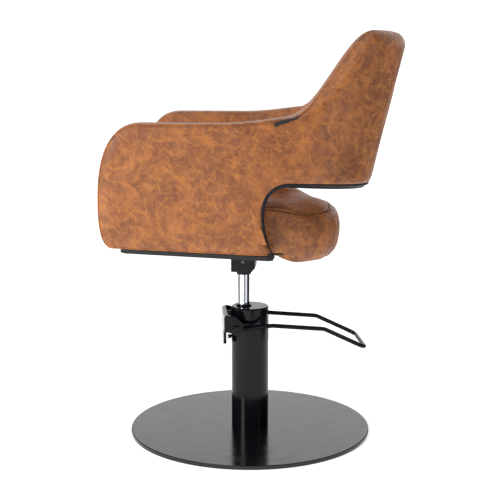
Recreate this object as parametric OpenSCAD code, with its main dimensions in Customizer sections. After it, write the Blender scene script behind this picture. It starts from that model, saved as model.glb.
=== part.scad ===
// Hydraulic styling chair: a round steel base, a foot-pumped ram and a padded wrap-around seat.
// Millimetres, +Z up. The origin is the centre of the base's underside. The sitter faces -Y,
// so the chair's left arm is on the +X side. Drawn with the seat near the middle of its lift.

/* [Base] */
// Radius of the round base plate
base_r = 295; // [260:5:330]
// Thickness of the base plate
base_t = 9.5; // [8:0.5:12]

/* [Pump] */
// Radius of the pump head
head_r = 46; // [45.5:0.1:47]
// Height of the pump head's flat top above the floor
head_top = 313; // [313:1:318]
// Radius of the chromed ram
ram_r = 14; // [13.5:0.1:14.2]
// How far the ram stands in front of the column's axis
ram_forward = 15; // [14:0.5:16]
// How far the pump and its pedal are turned from straight back
pump_turn = 10; // [0:0.5:20]

/* [Pedal] */
// Radius of the pedal bar's round steel
bar_r = 5.25; // [4.5:0.05:5.25]
// Distance between the middles of the bar's two legs
bar_spacing = 144; // [144:1:156]
// How far behind the column's axis the bar ends
bar_reach = 275; // [255:5:290]

/* [Seat] */
// Height of the dust cover's underside above the floor, on the ram's axis
seat_z = 480; // [478:1:484]
// Backward tilt of the seat
seat_tilt = 2.2; // [2.1:0.1:2.3]
// Half of the cushion's width
cushion_hw = 234; // [230:1:234]
// Thickness of the cushion at its edge seam
cushion_h = 107; // [100:1:112]

/* [Shell] */
// Half of the chair's width, outside the arms
shell_hw = 305; // [303:1:310]
// Thickness of the padded shell
shell_t = 64; // [63:1:66]
// Height of the arms' tops above the floor
arm_top = 773.5; // [760:0.5:790]
// Height of the back's top above the floor
back_top = 971.5; // [940:0.5:1000]
// Backward lean of the back
recline = 13.6; // [12:0.1:15]

/* [Hidden] */
$fn = 72;
fit = 0.05;                       // running clearance on a radius

// Heights up the pump
head_bottom = 226;
tube_r = head_r - 0.5;
tube_wall = 3.5;
foot_h = 20;
screw_top = 22;
bolt_circle_r = 30;
pressure_r = 19;
seal_z = 251;
bush_z = 262;
wiper_z = 303;
gland_z = 309;
ram_bottom = 110;
collar_z = 392;
hub_z = 401;
ram_top = 446;
ram_axis = [0, -ram_forward, 0];

// Pedal pivot and the pieces that the yoke works, in the turned frame
pivot = [0, -38, 267];
yoke_in = 56;                     // inner face of each yoke ear
yoke_out = 61.5;                  // outer face of each yoke ear
leaf_y = -60;                     // inner face of the yoke's front leaf
leaf_t = 7;
plunger_at = [-27, 0, 288];
plunger_tip = leaf_y + 0.8;
plunger_boss_y = -44;
release_at = [0, 0, 236];
release_tip = -55;

// Seat layers, as heights above the dust cover's underside
board_lo = 1;
board_hi = 10;
frame_hi = 56;
plate_t = 5;
plate_w = 170;
cover_t = 2;
seat_front = -300;
seat_rear = 230;
seat_widest = 15;
ring_n = 48;

// Shell layers, as depths inward from the outer face
rim_t = 2;
trim_w = 6;
frame_d0 = 26;
frame_d1 = 38;

// ---------------------------------------------------------------- helpers

function mix(a, b, t) = a + (b - a) * t;
function smooth(t) = let (c = min(max(t, 0), 1)) c * c * (3 - 2 * c);
function signed_pow(v, p) = sign(v) * pow(abs(v), p);
function bezier(p, t) =
  pow(1 - t, 3) * p[0] + 3 * pow(1 - t, 2) * t * p[1] + 3 * (1 - t) * t * t * p[2] + t * t * t * p[3];
function bezier_slope(p, t) =
  3 * (pow(1 - t, 2) * (p[1] - p[0]) + 2 * (1 - t) * t * (p[2] - p[1]) + t * t * (p[3] - p[2]));

// A list of closed rings of equal length, skinned one to the next. Each cell is split along its
// shorter diagonal, so that layers which share a surface split it alike. The ends are closed to
// their middle points, or the last ring is joined back to the first when looped.
module skin(rings, looped = false) {
  n = len(rings[0]);
  m = len(rings);
  all = [for (r = rings) each r];
  middle = function (ring) [for (k = [0:2]) [for (p = ring) p[k]] * [for (p = ring) 1] / n];
  caps = looped ? [] : [middle(rings[0]), middle(rings[m - 1])];
  sides = [
    for (i = [0:m - (looped ? 1 : 2)], j = [0:n - 1])
      let (a = i * n + j, b = i * n + (j + 1) % n,
           c = ((i + 1) % m) * n + (j + 1) % n, d = ((i + 1) % m) * n + j)
        each norm(all[a] - all[c]) < norm(all[b] - all[d]) ?
          [[a, b, c], [a, c, d]] : [[a, b, d], [b, c, d]]
  ];
  ends = looped ? [] : [
    for (j = [0:n - 1])
      each [[m * n, (j + 1) % n, j], [m * n + 1, (m - 1) * n + j, (m - 1) * n + (j + 1) % n]]
  ];
  polyhedron(points = concat(all, caps), faces = concat(sides, ends));
}

// A round bar swept through a list of points, on a route that never runs straight up
module rod(points, r, sides = 14) {
  last = len(points) - 1;
  skin([
    for (i = [0:last])
      let (v = points[min(i + 1, last)] - points[max(i - 1, 0)],
           across = [v[1], -v[0], 0] / norm([v[1], -v[0]]),
           up = cross(across, v) / norm(v))
        [for (j = [0:sides - 1])
          let (b = j * 360 / sides) points[i] + r * (cos(b) * across + sin(b) * up)]
  ]);
}

// A coil of round wire about +Z, from z = 0 to z = length
module coil(length, coil_r, wire_r, turns) {
  steps = turns * 16;
  skin([
    for (i = [0:steps])
      let (a = i * 360 / 16, z = mix(wire_r, length - wire_r, i / steps))
        [for (j = [0:5])
          let (b = -j * 60, r = coil_r + wire_r * cos(b))
            [r * cos(a), r * sin(a), z + wire_r * sin(b)]]
  ]);
}

// Puts its children in the frame that is turned with the pump
module turned() {
  rotate([0, 0, pump_turn]) children();
}

// A flat shape drawn in the Y-Z plane, given a thickness along X about x
module side_cut(x, thickness) {
  translate([x - thickness / 2, 0, 0])
    rotate([90, 0, 90])
      linear_extrude(thickness) children();
}

module tube(outer, inner, z0, z1) {
  translate([0, 0, z0])
    difference() {
      cylinder(h = z1 - z0, r = outer);
      translate([0, 0, -1]) cylinder(h = z1 - z0 + 2, r = inner);
    }
}

// ---------------------------------------------------------------- base and pump

module base_bolt_places() {
  for (a = [45:90:315]) rotate([0, 0, a]) translate([bolt_circle_r, 0, 0]) children();
}

module base_disc() {
  bevel = 1.5;
  color("#17181c")
    difference() {
      rotate_extrude($fn = 180)
        polygon([[0, 0], [base_r, 0], [base_r, base_t - bevel], [base_r - bevel, base_t], [0, base_t]]);
      rotate_extrude($fn = 180) translate([base_r - 33, -1]) square([16, 3]);
      base_bolt_places() {
        translate([0, 0, -1]) cylinder(h = base_t + 2, r = 4.5);
        translate([0, 0, -0.01]) cylinder(h = 4.8, r1 = 9.3, r2 = 4.5);
      }
    }
}

module floor_ring() {
  color("#202020")
    rotate_extrude($fn = 180) translate([base_r - 33 + fit, 0]) square([16 - 2 * fit, 2]);
}

module base_screws() {
  color("silver")
    base_bolt_places() {
      translate([0, 0, 0.6]) cylinder(h = 4.2, r1 = 8.4, r2 = 4);
      translate([0, 0, 4.7]) cylinder(h = screw_top - 4.7, r = 4);
    }
}

module foot_plug() {
  color("dimgray")
    difference() {
      translate([0, 0, base_t]) cylinder(h = foot_h, r = tube_r - tube_wall);
      translate([0, 0, base_t - 1]) base_bolt_places() cylinder(h = screw_top + 2 - base_t, r = 4);
      translate(ram_axis) translate([0, 0, base_t + foot_h - 6]) cylinder(h = 10, r = pressure_r);
    }
}

module pump_tube() {
  color("#17181c") tube(tube_r, tube_r - tube_wall, base_t, head_bottom);
}

module pressure_tube() {
  color("gray") translate(ram_axis) tube(pressure_r, ram_r + 1.5, base_t + foot_h - 6, seal_z - 1);
}

module pump_head() {
  bevel = 3;
  color("#17181c")
    difference() {
      union() {
        translate([0, 0, head_bottom]) cylinder(h = head_top - head_bottom - bevel, r = head_r);
        translate([0, 0, head_top - bevel]) cylinder(h = bevel, r1 = head_r, r2 = head_r - 2.5);
        turned() {
          // the barrel that the pedal pivots on
          translate(pivot) rotate([0, 90, 0]) cylinder(h = 111, r = 12, center = true);
          // the boss that guides the plunger
          translate([plunger_at[0], plunger_boss_y, plunger_at[2]])
            rotate([-90, 0, 0]) cylinder(h = 20, r = 11);
        }
      }
      translate(ram_axis) {
        translate([0, 0, head_bottom - 1]) cylinder(h = seal_z - head_bottom, r = pressure_r + fit);
        translate([0, 0, seal_z - 2]) cylinder(h = bush_z - seal_z + 2, r = ram_r + 4);
        translate([0, 0, bush_z - 1]) cylinder(h = wiper_z - bush_z + 1, r = ram_r + 3);
        translate([0, 0, wiper_z - 0.5]) cylinder(h = gland_z - wiper_z + 1, r = ram_r + 3.5);
        translate([0, 0, gland_z]) cylinder(h = head_top - gland_z + 1, r = pressure_r);
      }
      turned() {
        for (side = [-1, 1])
          translate([side * 45.5, pivot[1], pivot[2]])
            rotate([0, 90, 0]) cylinder(h = 21, r = 5, center = true);
        translate([plunger_at[0], plunger_boss_y - 1, plunger_at[2]])
          rotate([-90, 0, 0]) cylinder(h = 45, r = 6 + fit);
        translate([release_at[0], -head_r - 6, release_at[2]])
          rotate([-90, 0, 0]) cylinder(h = 16, r = 3.5 + fit);
      }
    }
}

module gland_ring() {
  color("#17181c")
    translate(ram_axis) {
      tube(pressure_r, ram_r + 0.6, gland_z, head_top + 2.5);
      translate([0, 0, head_top + 2.5])
        difference() {
          cylinder(h = 1.5, r1 = pressure_r, r2 = pressure_r - 1.5);
          translate([0, 0, -1]) cylinder(h = 4, r = ram_r + 0.6);
        }
    }
}

module wiper_seal() {
  color("#111111") translate(ram_axis) tube(ram_r + 3.5, ram_r + fit, wiper_z, gland_z);
}

module guide_bush() {
  color("#b08d57") translate(ram_axis) tube(ram_r + 3, ram_r + fit, bush_z, wiper_z - 0.5);
}

module ram_seal() {
  color("#5a1f1f") translate(ram_axis) tube(ram_r + 4, ram_r + fit, seal_z, bush_z - 1);
}

module pivot_bolts() {
  color("#17181c")
    turned()
      for (side = [-1, 1])
        translate([side * 35, pivot[1], pivot[2]])
          rotate([0, side * 90, 0]) {
            cylinder(h = yoke_out - 35 + 0.3, r = 5);
            translate([0, 0, yoke_out - 35 + 0.3]) cylinder(h = 1.2, r = 11.5);
            translate([0, 0, yoke_out - 35 + 1.5]) rotate([0, 0, 15]) cylinder(h = 6, r = 10, $fn = 6);
          }
}

// ---------------------------------------------------------------- pedal and valves

module yoke_leaf_outline() {
  top = 302;
  bend = 9;
  y_out = leaf_y - leaf_t;
  difference() {
    union() {
      translate([y_out, 260]) square([leaf_t, top - bend - 260]);
      intersection() {
        translate([y_out + bend, top - bend]) circle(r = bend);
        translate([y_out, top - bend]) square([bend, bend]);
      }
    }
    translate([y_out + bend, top - bend]) circle(r = bend - leaf_t);
  }
}

module yoke_ear_outline() {
  difference() {
    union() {
      translate([pivot[1], pivot[2]]) circle(r = 15);
      polygon([[-66.5, 262], [-66.5, 291], [-61, 300], [-53, 302], [-38, 298], [-22, 281], [-3, 281],
               [-3, 266], [-20, 260], [-34, 253], [-52, 258]]);
    }
    translate([pivot[1], pivot[2]]) circle(r = 5 + fit);
  }
}

module pedal_yoke() {
  tongue_hw = 29;
  tongue_tip = 221;
  ear_mid = (yoke_in + yoke_out) / 2;
  ear_t = yoke_out - yoke_in;
  color("#1b1c20")
    turned() {
      side_cut(0, 2 * yoke_in) yoke_leaf_outline();
      for (side = [-1, 1]) side_cut(side * ear_mid, ear_t) yoke_ear_outline();
      // the tongue that hangs in front of the release pin
      translate([0, leaf_y, 0])
        rotate([90, 0, 0])
          linear_extrude(leaf_t)
            polygon([[-tongue_hw, 262], [-tongue_hw, tongue_tip + 12], [-tongue_hw + 4, tongue_tip + 3.5],
                     [-tongue_hw + 12, tongue_tip], [tongue_hw - 12, tongue_tip],
                     [tongue_hw - 4, tongue_tip + 3.5], [tongue_hw, tongue_tip + 12], [tongue_hw, 262]]);
    }
}

// One half of the bar's route, from the yoke's ear to the middle of the cross bar
function bar_half(side) =
  let (x = bar_spacing / 2, end_z = 219, slope = (266.5 - end_z) / (bar_reach - 176), corner = 16)
    concat(
      [[side * (yoke_out + bar_r + 0.05), -20, 268.5], [side * (x - 2.5), 14, 275], [side * x, 50, 277.7],
       [side * x, 170, 267.5], [side * x, 176, 266.2], [side * x, 182, 263.6]],
      [for (a = [0:22.5:90])
        let (y = bar_reach - corner * (1 - sin(a)))
          [side * (x - corner * (1 - cos(a))), y, end_z + (bar_reach - y) * slope]]
    );

module pedal_bar() {
  near = bar_half(1);
  far = bar_half(-1);
  color("#17181c")
    turned() rod(concat(near, [for (i = [len(far) - 1:-1:0]) far[i]]), bar_r);
}

module plunger() {
  color("silver")
    turned()
      translate([plunger_at[0], plunger_tip, plunger_at[2]])
        rotate([-90, 0, 0]) {
          cylinder(h = 2.2, r1 = 3, r2 = 9);
          translate([0, 0, 2.2]) cylinder(h = 0.8, r = 9);
          translate([0, 0, 3]) cylinder(h = 42, r = 6);
        }
}

module plunger_spring() {
  color("gray")
    turned()
      translate([plunger_at[0], plunger_tip + 3, plunger_at[2]])
        rotate([-90, 0, 0]) coil(plunger_boss_y - plunger_tip - 3, 7.4, 1, 4);
}

module release_pin() {
  color("silver")
    turned()
      translate([release_at[0], release_tip, release_at[2]])
        rotate([-90, 0, 0]) {
          cylinder(h = 2, r = 6);
          translate([0, 0, 2]) cylinder(h = 12.5, r = 3.5);
        }
}

module release_spring() {
  color("gray")
    turned()
      translate([release_at[0], release_tip + 2, release_at[2]])
        rotate([-90, 0, 0]) coil(-head_r - release_tip - 2, 4.6, 0.7, 4);
}

// ---------------------------------------------------------------- ram

module ram() {
  color("#d8dade")
    translate(ram_axis)
      difference() {
        union() {
          translate([0, 0, ram_bottom]) cylinder(h = ram_top - ram_bottom - 2, r = ram_r);
          translate([0, 0, ram_top - 2]) cylinder(h = 2, r1 = ram_r, r2 = ram_r - 2);
        }
        tube(ram_r + 2, ram_r - 1.5, ram_bottom + 6, ram_bottom + 8);
      }
}

module ram_stop_ring() {
  color("dimgray") translate(ram_axis) tube(ram_r + 1.3, ram_r - 1.5, ram_bottom + 6, ram_bottom + 8);
}

module thrust_washer() {
  color("#b08d57") translate(ram_axis) tube(ram_r - 2.5, 4, ram_top, ram_top + 2);
}

// ---------------------------------------------------------------- seat underside

// Puts its children in the tilted seat frame, whose origin is on the ram's axis
module seated() {
  translate([0, -ram_forward, seat_z]) rotate([-seat_tilt, 0, 0]) children();
}

module seat_hub() {
  color("#1b1c20")
    difference() {
      union() {
        translate(ram_axis) translate([0, 0, collar_z]) cylinder(h = hub_z - collar_z + 1, r = 17.5);
        intersection() {
          translate([0, -ram_forward, 0])
            side_cut(0, 58)
              polygon([[-29, hub_z], [21, hub_z], [29, hub_z + 9], [29, seat_z + 5], [-29, seat_z + 5]]);
          translate(ram_axis) translate([0, 0, hub_z - 1]) cylinder(h = 90, r = 38.5);
        }
      }
      seated() translate([-60, -60, -plate_t]) cube([120, 120, 60]);
      translate(ram_axis) {
        translate([0, 0, collar_z - 1]) cylinder(h = 20, r = ram_r + 0.4);
        translate([0, 0, hub_z + 2]) cylinder(h = ram_top + 2.4 - hub_z - 2, r = ram_r + 3);
      }
      translate([0, 0, 425]) rotate([0, 90, 0]) translate([0, -ram_forward, 0]) cylinder(h = 40, r = 4);
    }
}

module swivel_bush() {
  color("#b08d57") translate(ram_axis) tube(ram_r + 3, ram_r + fit, hub_z + 2, ram_top - 4);
}

module hub_screw() {
  color("#111111")
    translate([ram_r + 3, -ram_forward, 425])
      rotate([0, 90, 0])
        difference() {
          cylinder(h = 10, r = 4);
          translate([0, 0, 6]) cylinder(h = 5, r = 2.3, $fn = 6);
        }
}

module plate_bolt_places() {
  for (x = [-60, 60], y = [-60, 60]) translate([x, y, 0]) children();
}

module seat_plate() {
  color("#1b1c20")
    seated()
      difference() {
        translate([-plate_w / 2, -plate_w / 2, -plate_t]) cube([plate_w, plate_w, plate_t]);
        plate_bolt_places() translate([0, 0, -plate_t - 1]) cylinder(h = plate_t + 2, r = 4.5);
      }
}

module plate_bolts() {
  color("dimgray")
    seated()
      plate_bolt_places() {
        translate([0, 0, -plate_t - 1.6]) cylinder(h = 1.6, r = 8.5);
        translate([0, 0, -plate_t - 6.6]) cylinder(h = 5, r = 7.2, $fn = 6);
        translate([0, 0, -plate_t - 0.5]) cylinder(h = plate_t + board_hi + 4, r = 4);
      }
}

module tee_nuts() {
  color("silver")
    seated()
      plate_bolt_places() {
        tube(10, 4, board_hi, board_hi + 1.5);
        tube(5, 4, board_hi - 7, board_hi);
      }
}

// ---------------------------------------------------------------- cushion

// The cushion's outline: square at the front between the arms, rounded at the rear
function cushion_point(a, inset) =
  let (c = cos(a), s = sin(a), p = s < 0 ? 2 / 6 : 2 / 2.3, hw = cushion_hw - inset,
       reach = s < 0 ? seat_widest - seat_front - inset : seat_rear - seat_widest - inset)
    [hw * signed_pow(c, p), seat_widest + reach * signed_pow(s, p)];
// How far round the rear a point of the outline is: 0 beside the arms, 1 at the rear
function rear_share(y) = smooth((y - 75) / 115);
// The outline with one inset beside the arms and another at the rear
function cushion_outline(side, rear) =
  [for (j = [0:ring_n - 1])
    let (a = j * 360 / ring_n, share = rear_share(cushion_point(a, 0)[1]))
      cushion_point(a, mix(side, rear, share))];
// A ring of the cushion, from its [inset, height] beside the arms and at the rear
function cushion_ring(side, rear) =
  [for (j = [0:ring_n - 1])
    let (a = j * 360 / ring_n, q = mix(side, rear, rear_share(cushion_point(a, 0)[1])))
      concat(cushion_point(a, q[0]), [q[1]])];
// Inset and height of the seam at the rear, where the cushion rounds off
rear_seam = [24, cushion_h - 18];
// Inset and height of each ring of the crowned top, from the seam inwards
crown = [[2, 0], [6, 5], [18, 12], [45, 17], [95, 20], [170, 21]];
function crown_ring(c, grow) =
  cushion_ring([c[0] - grow, cushion_h + c[1] + grow], rear_seam + [c[0] - grow, c[1] * 0.6 + grow]);

module seat_board() {
  arm_hw = shell_hw - 6;
  color("#1a1a1a")
    seated()
      difference() {
        translate([0, 0, board_lo])
          linear_extrude(board_hi - board_lo)
            union() {
              polygon(cushion_outline(4, 15));
              polygon([[-arm_hw, -233], [-arm_hw + 12, -245], [arm_hw - 12, -245], [arm_hw, -233],
                       [arm_hw, 82], [arm_hw - 10, 92], [243, 92], [239, 74],
                       [-239, 74], [-243, 92], [-arm_hw + 10, 92], [-arm_hw, 82]]);
            }
        plate_bolt_places() {
          translate([0, 0, -1]) cylinder(h = 8, r = 4.5);
          translate([0, 0, board_hi - 7]) cylinder(h = 8, r = 5);
        }
        shell_screw_places() translate([0, 0, -1]) cylinder(h = board_hi + 2, r = 2.5);
      }
}

module seat_frame() {
  color("#c9a26b")
    seated()
      translate([0, 0, board_hi])
        linear_extrude(frame_hi - board_hi)
          difference() {
            polygon(cushion_outline(4, 11));
            polygon(cushion_outline(38, 45));
          }
}

module seat_webbing() {
  strap_w = 55;
  color("#444444")
    seated()
      translate([0, 0, frame_hi])
        linear_extrude(2)
          intersection() {
            polygon(cushion_outline(8, 13));
            union() {
              for (y = [-220:85:120]) translate([-300, y - strap_w / 2]) square([600, strap_w]);
              for (x = [-130, 0, 130]) translate([x - strap_w / 2, -400]) square([strap_w, 800]);
            }
          }
}

module dust_cover() {
  color("#141414")
    seated()
      linear_extrude(board_lo)
        difference() {
          polygon(cushion_outline(8, 52));
          for (x = [-60, 60], y = [-60, 60]) translate([x, y]) circle(r = 4.5);
        }
}

module seat_foam() {
  color("#e8dcc0")
    seated()
      skin(concat(
        [cushion_ring([4, frame_hi + 2], [12, frame_hi + 2]),
         cushion_ring([2.5, frame_hi + 8], [17, frame_hi + 8])],
        [for (c = crown) crown_ring(c, 0)]
      ));
}

// The boxing stops on the board beside the arms. At the rear it is full, and turns in under the board.
module seat_side_cover() {
  low = board_hi + 0.3;
  outer = [[[0, low], [48, -2.5]], [[0, low + 1], [34, -22]], [[0, low + 4], [15, -17]],
           [[0, 34], [3, 8]], [[0, 60], [0, 42]], [[0, cushion_h], rear_seam]];
  inner = [[[2, cushion_h], rear_seam + [2, 0]], [[2, 60], [2, 42]], [[2, 34], [5.3, 9]],
           [[2, low + 4], [17, -14.8]], [[2, low + 1], [34, -19.2]], [[2, low], [48, -0.3]]];
  color("#a9683c")
    seated() skin([for (r = concat(outer, inner)) cushion_ring(r[0], r[1])], looped = true);
}

module seat_top_cover() {
  m = len(crown);
  color("#a9683c")
    seated()
      skin(concat(
        [for (i = [m - 1:-1:0]) crown_ring(crown[i], 0)],
        [for (c = crown) crown_ring(c, cover_t)]
      ));
}

module seat_welt() {
  r = 2.4;
  n = 6;
  color("#8f5630")
    seated()
      skin([
        for (j = [0:n - 1])
          let (a = 180 + j * 360 / n, out = r + 0.1 + r * cos(a), down = r * 0.5 + r * sin(a))
            cushion_ring([-out, cushion_h - down], rear_seam - [out + 1.7, down])
      ], looped = true);
}

// ---------------------------------------------------------------- shell

// The shell is drawn on a chart. s runs back along the arm and then round to the middle of the
// back, where it is turn_len; z is the height, and a depth d leads inward from the outer face.
turn_len = 574;
turn_side = 0.64;
turn_rear = 0.62;
function rear_y(z) = 282 + (z - 611) * tan(recline);
function plan_curve(z) =
  [[shell_hw, 0], [shell_hw, turn_side * rear_y(z)], [turn_rear * shell_hw, rear_y(z)], [0, rear_y(z)]];
function plan_point(s, z) = s <= 0 ? [shell_hw, s] : bezier(plan_curve(z), s / turn_len);
function plan_normal(s, z) =
  s <= 0 ? [1, 0] : let (v = bezier_slope(plan_curve(z), s / turn_len)) [v[1], -v[0]] / norm(v);
function shell_point(s, z, d, side) =
  let (p = plan_point(s, z) - d * plan_normal(s, z)) [side * p[0], p[1], z];

// The shell's outline has an upper and a lower chain of points with the same count. The first
// points are the arm's rounded front, then come the arm, the notch behind the side panel and the
// back. e is how far a layer stops short of the rim, and low how far it stops short of the trim.
front_n = 5;
arm_n = 4;
notch_n = 6;
back_n = 8;
half_n = front_n + arm_n + notch_n + back_n;
nose_z = 593;
arm_low_front = 500.5;
arm_low_rear = 487;
back_low = 614;
// The top rises gently along the arm's rear end, then steeply to the back's top
arm_rise = 17;
function top_z(s) =
  arm_top + arm_rise * smooth((s + 35) / 209) + (back_top - arm_top - arm_rise) * smooth((s - 116) / 242);
function upper(k, e) =
  k <= front_n ? let (a = mix(10, 90, k / front_n))
    [-205 - (101 - e) * pow(cos(a), 2 / 2.5), nose_z + (arm_top - nose_z - e) * pow(sin(a), 2 / 2.5)] :
  k <= front_n + arm_n ? [mix(-205, -35, (k - front_n) / arm_n), arm_top - e] :
  k <= front_n + arm_n + notch_n ?
    let (s = mix(-35, 135, (k - front_n - arm_n) / notch_n)) [s, top_z(s) - e] :
  let (s = mix(135, turn_len, (k - half_n + back_n) / back_n)) [s, top_z(s) - e];
function notch(low, t) =
  bezier([[104.5 - low, arm_low_rear], [58 - low, 533], [38 - low, 640 + low], [125, 640.5 + low]], t);
// The panel's lower rear corner, on the line that the edging follows
function low_corner(e, low) =
  let (p = notch(low, 0), q = notch(low, 1 / notch_n)) mix(p, q, e / (q[1] - p[1]));
function lower(k, e, low) =
  k <= front_n ? let (a = mix(10, 90, k / front_n))
    [-272 - (34 - e) * pow(cos(a), 2 / 2.5), nose_z - (nose_z - arm_low_front - e) * pow(sin(a), 2 / 2.5)] :
  k <= front_n + arm_n ? mix([-272, arm_low_front + e], low_corner(e, low), (k - front_n) / arm_n) :
  k <= front_n + arm_n + notch_n ? notch(low, (k - front_n - arm_n) / notch_n) :
  let (t = (k - half_n + back_n) / back_n) [mix(125, turn_len, t), mix(640.5, back_low, t) + low];

// One layer of the shell, between two depths
module shell_layer(d0, d1, e, low, rows = 4) {
  cols = [for (k = [0:half_n]) [k, 1], for (k = [half_n - 1:-1:0]) [k, -1]];
  // each ring goes up the outer face and down the inner one
  skin([
    for (c = cols)
      let (lo = lower(c[0], e, low), hi = upper(c[0], e))
        concat(
          [for (r = [0:rows]) let (p = mix(lo, hi, r / rows)) shell_point(p[0], p[1], d0, c[1])],
          [for (r = [rows:-1:0]) let (p = mix(lo, hi, r / rows)) shell_point(p[0], p[1], d1, c[1])]
        )
  ]);
}

// A strip of the shell's edge, between two chart outlines and the full depth of the shell, with a
// line of points wherever two layers meet
module shell_strip(stations) {
  depths = [0, cover_t, frame_d0, frame_d1, shell_t - cover_t, shell_t];
  skin([
    for (q = stations)
      concat(
        [for (d = depths) shell_point(q[0][0], q[0][1], d, q[2])],
        [for (i = [len(depths) - 1:-1:0]) shell_point(q[1][0], q[1][1], depths[i], q[2])]
      )
  ]);
}

module shell_frame() {
  color("#c9a26b") shell_layer(frame_d0, frame_d1, rim_t, trim_w);
}

module shell_outer_pad() {
  color("#e8dcc0") shell_layer(cover_t, frame_d0, rim_t, trim_w);
}

module shell_inner_pad() {
  color("#e8dcc0") shell_layer(frame_d1, shell_t - cover_t, rim_t, trim_w);
}

module shell_outer_cover() {
  color("#a9683c") shell_layer(0, cover_t, rim_t, trim_w);
}

module shell_inner_cover() {
  color("#9c5f36") shell_layer(shell_t - cover_t, shell_t, rim_t, trim_w);
}

// Leather round the arms' fronts, under the side panels and over the top
module shell_rim_cover() {
  panel_n = front_n + arm_n;
  low_run = [for (k = [panel_n:-1:0]) [lower(k, 0, trim_w), lower(k, rim_t, trim_w)]];
  high_run = [for (k = [0:half_n]) [upper(k, 0), upper(k, rim_t)]];
  half = concat(low_run, high_run);
  color("#a9683c")
    shell_strip(concat(
      [for (q = half) [q[0], q[1], 1]],
      [for (i = [len(half) - 2:-1:0]) [half[i][0], half[i][1], -1]]
    ));
}

// Black edging up the notch and along the back's lower edge
module shell_lower_trim() {
  first = front_n + arm_n;
  half = [for (k = [first:half_n]) [lower(k, 0, 0), lower(k, 0, trim_w)]];
  color("#141414")
    shell_strip(concat(
      [for (q = half) [q[1], q[0], 1]],
      [for (i = [len(half) - 2:-1:0]) [half[i][1], half[i][0], -1]]
    ));
}

// The corded seam that runs along the outer top edge
module shell_welt() {
  r = 2;
  half = [for (k = [front_n - 2:half_n]) upper(k, 4)];
  cols = concat([for (q = half) [q, 1]], [for (i = [len(half) - 2:-1:0]) [half[i], -1]]);
  color("#b97444")
    skin([
      for (c = cols)
        [for (j = [0:5])
          let (a = j * 60)
            shell_point(c[0][0], c[0][1] + r * sin(a), -r - 0.05 - r * cos(a), c[1])]
    ]);
}

module shell_screw_places() {
  for (side = [-1, 1], y = [-230:80:10])
    translate([side * (shell_hw - (frame_d0 + frame_d1) / 2), y + ram_forward, 0]) children();
}

module shell_screws() {
  color("silver")
    seated()
      shell_screw_places() {
        translate([0, 0, -1.4]) cylinder(h = 2.4, r = 5.5);
        translate([0, 0, 0.5]) cylinder(h = 44, r = 2.4);
      }
}

// A blank woven tag caught in the seam of the left arm
module side_tag() {
  tag_l = 53;
  tag_h = 8;
  s0 = 79;
  color("#111111")
    skin([
      for (i = [0:4])
        let (s = s0 + tag_l * i / 4, z = top_z(s) - 9)
          [shell_point(s, z, -0.2, 1), shell_point(s, z, -1.2, 1),
           shell_point(s, z - tag_h, -1.2, 1), shell_point(s, z - tag_h, -0.2, 1)]
    ]);
}

// ---------------------------------------------------------------- the nodes

base_disc();
floor_ring();
base_screws();
foot_plug();
pump_tube();
pressure_tube();
pump_head();
gland_ring();
wiper_seal();
guide_bush();
ram_seal();
pivot_bolts();
pedal_yoke();
pedal_bar();
plunger();
plunger_spring();
release_pin();
release_spring();
ram();
ram_stop_ring();
thrust_washer();
seat_hub();
swivel_bush();
hub_screw();
seat_plate();
plate_bolts();
tee_nuts();
seat_board();
seat_frame();
seat_webbing();
dust_cover();
seat_foam();
seat_side_cover();
seat_top_cover();
seat_welt();
shell_frame();
shell_outer_pad();
shell_inner_pad();
shell_outer_cover();
shell_inner_cover();
shell_rim_cover();
shell_lower_trim();
shell_welt();
shell_screws();
side_tag();
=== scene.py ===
"""Looks of the hydraulic styling chair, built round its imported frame. Metres, +Z up, sitter faces -Y."""
import math

import bmesh
import bpy
import numpy as np
from mathutils import Matrix, Vector


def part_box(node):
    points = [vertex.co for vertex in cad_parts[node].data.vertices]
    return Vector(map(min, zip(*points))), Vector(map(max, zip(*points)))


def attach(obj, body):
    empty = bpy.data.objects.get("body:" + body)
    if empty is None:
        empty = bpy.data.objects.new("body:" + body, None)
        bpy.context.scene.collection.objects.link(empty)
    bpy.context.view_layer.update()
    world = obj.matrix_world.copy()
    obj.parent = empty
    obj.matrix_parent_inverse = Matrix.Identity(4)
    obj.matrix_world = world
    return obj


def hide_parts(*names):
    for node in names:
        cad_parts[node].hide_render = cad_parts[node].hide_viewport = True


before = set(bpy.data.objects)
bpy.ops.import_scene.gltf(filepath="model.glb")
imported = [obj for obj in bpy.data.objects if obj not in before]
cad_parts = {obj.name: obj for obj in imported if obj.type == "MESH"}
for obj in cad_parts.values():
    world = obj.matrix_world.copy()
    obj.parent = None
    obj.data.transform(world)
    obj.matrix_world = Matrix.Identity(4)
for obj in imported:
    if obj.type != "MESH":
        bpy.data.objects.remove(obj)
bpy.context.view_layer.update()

# ---------------------------------------------------------------- driving sizes, from the frame

HALF_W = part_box("shell_outer_cover")[1].x    # half of the width outside the arms
BACK_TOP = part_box("shell_rim_cover")[1].z    # height of the back's top
ARM_TOP = 0.7735                     # height of the arms' tops
ARM_RISE = 0.017                     # how much the arm's top climbs before the wing
SHELL_T = 0.064                      # thickness of the padded shell
FRAME_DEPTHS = (0.026, 0.038)        # depths of the plywood frame's faces in the shell
RECLINE = math.tan(math.radians(13.6))
BACK_Y, BACK_Z = 0.282, 0.611        # lower end of the back's rear line
TURN_LEN = 0.574                     # chart length from the arm to the back's middle
TURN_SIDE, TURN_REAR = 0.64, 0.62    # how square the plan curve is, at the side and rear
NOSE_Z = 0.593                       # height of the arm's foremost point
ARM_LOW_FRONT, ARM_LOW_REAR = 0.5005, 0.487
BACK_LOW = 0.614                     # height of the back's lower edge at its middle
NOSE_DEG = 4.0                       # where the nose's arcs start
NOSE_TOP = (-0.205, 0.101)           # where the nose's upper arc ends on the arm, and its reach
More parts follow.
